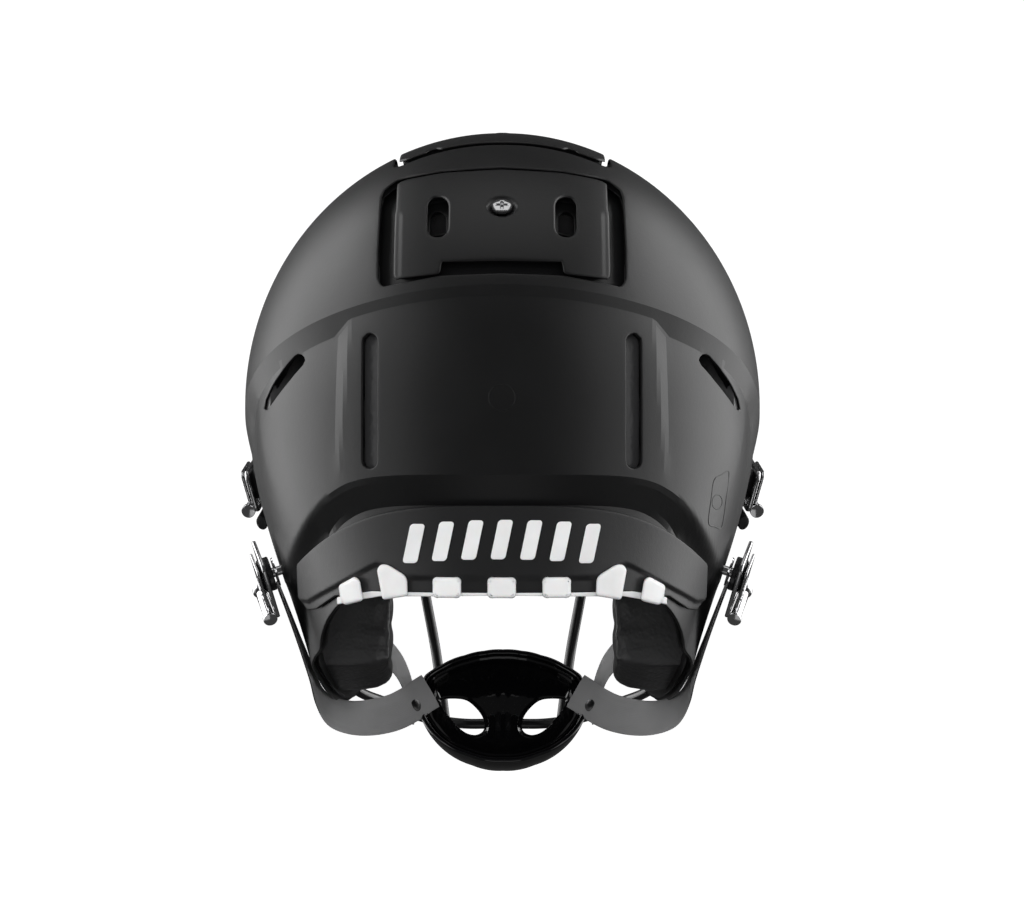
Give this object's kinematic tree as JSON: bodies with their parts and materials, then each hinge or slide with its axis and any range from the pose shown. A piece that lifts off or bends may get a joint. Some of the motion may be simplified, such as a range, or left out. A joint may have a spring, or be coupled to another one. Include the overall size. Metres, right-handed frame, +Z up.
{
  "type": "american football helmet",
  "caption": "Matte black American football helmet with floating crown plates, wire face mask, white neck pad, padded liner and a hard chin cup on four buckled straps.",
  "frame": {"origin": "centre of the cranial part of the shell, midway between the ears, where the middle of the wearer's head sits", "axes": "-Y the way the wearer faces, +X the wearer's left, +Z up through the crown"},
  "size_m": [0.2636, 0.347, 0.3221],
  "materials": {
    "shell_plastic": "matte black moulded polycarbonate",
    "gloss_plastic": "gloss black",
    "rubber": "satin black moulded rubber",
    "white_plastic": "white satin moulded",
    "padding": "dark vinyl over foam",
    "coated_wire": "black coated steel wire",
    "chrome": "bright",
    "webbing": "charcoal coated strap"
  },
  "bodies": {
    "shell": {"outer_shell": "shell_plastic", "rear_bumper": "rubber", "neck_pad": "white_plastic", "front_bumper": "rubber", "plate_cushion_rear": "rubber", "plate_cushion_front": "rubber", "plate_screw_rear": "chrome", "plate_screw_front": "chrome", "crown_liner": "padding", "front_liner": "padding", "back_liner": "padding", "neck_liner": "padding", "side_liner_left": "padding", "jaw_pad_left": "padding", "mask_clip_top_left": "rubber", "mask_clip_screw_left": "chrome", "snap_stud_high_left": "chrome", "snap_stud_low_left": "chrome", "strap_high_left": "webbing", "strap_low_left": "webbing", "side_liner_right": "padding", "jaw_pad_right": "padding", "mask_clip_top_right": "rubber", "mask_clip_screw_right": "chrome", "snap_stud_high_right": "chrome", "snap_stud_low_right": "chrome", "strap_high_right": "webbing", "strap_low_right": "webbing"},
    "crown_plate_rear": {"crown_plate_rear": "shell_plastic"},
    "crown_plate_front": {"crown_plate_front": "shell_plastic"},
    "facemask": {"mask_brow_bar": "coated_wire", "mask_chin_bar": "coated_wire", "mask_nose_bar": "coated_wire", "mask_mouth_bar": "coated_wire", "mask_lip_bar": "coated_wire", "mask_centre_bar_left": "coated_wire", "mask_flank_bar_left": "coated_wire", "side_clip_left": "rubber", "mask_centre_bar_right": "coated_wire", "mask_flank_bar_right": "coated_wire", "side_clip_right": "rubber"},
    "chin_cup": {"chin_cup": "gloss_plastic", "cup_liner": "padding", "strap_rivet_left": "chrome", "strap_rivet_right": "chrome"},
    "release_screw_left": {"release_screw_left": "chrome"},
    "buckle_high_left": {"buckle_high_left": "chrome", "strap_roll_high_left": "rubber"},
    "buckle_low_left": {"buckle_low_left": "chrome"},
    "cam_lever_high_left": {"cam_lever_high_left": "chrome"},
    "cam_lever_low_left": {"cam_lever_low_left": "chrome"},
    "release_screw_right": {"release_screw_right": "chrome"},
    "buckle_high_right": {"buckle_high_right": "chrome", "strap_roll_high_right": "rubber"},
    "buckle_low_right": {"buckle_low_right": "chrome"},
    "cam_lever_high_right": {"cam_lever_high_right": "chrome"},
    "cam_lever_low_right": {"cam_lever_low_right": "chrome"}
  },
  "joints": [
    {"name": "crown_plate_rear_give", "type": "slide", "parent": "shell", "child": "crown_plate_rear", "axis": [0, -0.6801, -0.7331], "range_m": [0, 0.0015], "stiffness_N_per_m": 2000, "deforming": ["plate_cushion_rear"]},
    {"name": "crown_plate_front_give", "type": "slide", "parent": "shell", "child": "crown_plate_front", "axis": [0, 0, -1], "range_m": [0, 0.0015], "stiffness_N_per_m": 2000, "deforming": ["plate_cushion_front"]},
    {"name": "facemask_swing", "type": "hinge", "parent": "shell", "child": "facemask", "pos_m": [0, -0.135, 0.06], "axis": [-1, 0, 0], "range_deg": [0, 95]},
    {"name": "release_screw_left_turn", "type": "hinge", "parent": "facemask", "child": "release_screw_left", "pos_m": [0.10748, -0.0922, -0.04967], "axis": [0.8647, -0.467, -0.1851], "range_deg": [0, 90]},
    {"name": "release_screw_right_turn", "type": "hinge", "parent": "facemask", "child": "release_screw_right", "pos_m": [-0.10748, -0.0922, -0.04967], "axis": [-0.8647, -0.467, -0.1851], "range_deg": [0, 90]},
    {"name": "chin_cup_lift", "type": "slide", "parent": "shell", "child": "chin_cup", "axis": [0, 0, 1], "range_m": [0, 0.012], "deforming": ["strap_high_left", "strap_high_right", "strap_low_left", "strap_low_right"]},
    {"name": "buckle_high_left_pull", "type": "slide", "parent": "shell", "child": "buckle_high_left", "axis": [0.9584, -0.218, -0.1844], "range_m": [0, 0.008], "deforming": ["strap_high_left"]},
    {"name": "cam_lever_high_left_flip", "type": "hinge", "parent": "buckle_high_left", "child": "cam_lever_high_left", "pos_m": [0.12534, -0.05141, -0.04765], "axis": [0.1468, 0.9302, -0.3364], "range_deg": [0, 75]},
    {"name": "buckle_low_left_pull", "type": "slide", "parent": "shell", "child": "buckle_low_left", "axis": [0.9447, 0.0986, -0.3127], "range_m": [0, 0.008], "deforming": ["strap_low_left"]},
    {"name": "cam_lever_low_left_flip", "type": "hinge", "parent": "buckle_low_left", "child": "cam_lever_low_left", "pos_m": [0.11541, 0.0171, -0.09668], "axis": [-0.2606, 0.8048, -0.5333], "range_deg": [0, 75]},
    {"name": "buckle_high_right_pull", "type": "slide", "parent": "shell", "child": "buckle_high_right", "axis": [-0.9584, -0.218, -0.1844], "range_m": [0, 0.008], "deforming": ["strap_high_right"]},
    {"name": "cam_lever_high_right_flip", "type": "hinge", "parent": "buckle_high_right", "child": "cam_lever_high_right", "pos_m": [-0.12534, -0.05141, -0.04765], "axis": [0.1468, -0.9302, 0.3364], "range_deg": [0, 75]},
    {"name": "buckle_low_right_pull", "type": "slide", "parent": "shell", "child": "buckle_low_right", "axis": [-0.9447, 0.0986, -0.3127], "range_m": [0, 0.008], "deforming": ["strap_low_right"]},
    {"name": "cam_lever_low_right_flip", "type": "hinge", "parent": "buckle_low_right", "child": "cam_lever_low_right", "pos_m": [-0.11541, 0.0171, -0.09668], "axis": [-0.2606, -0.8048, 0.5333], "range_deg": [0, 75]}
  ]
}
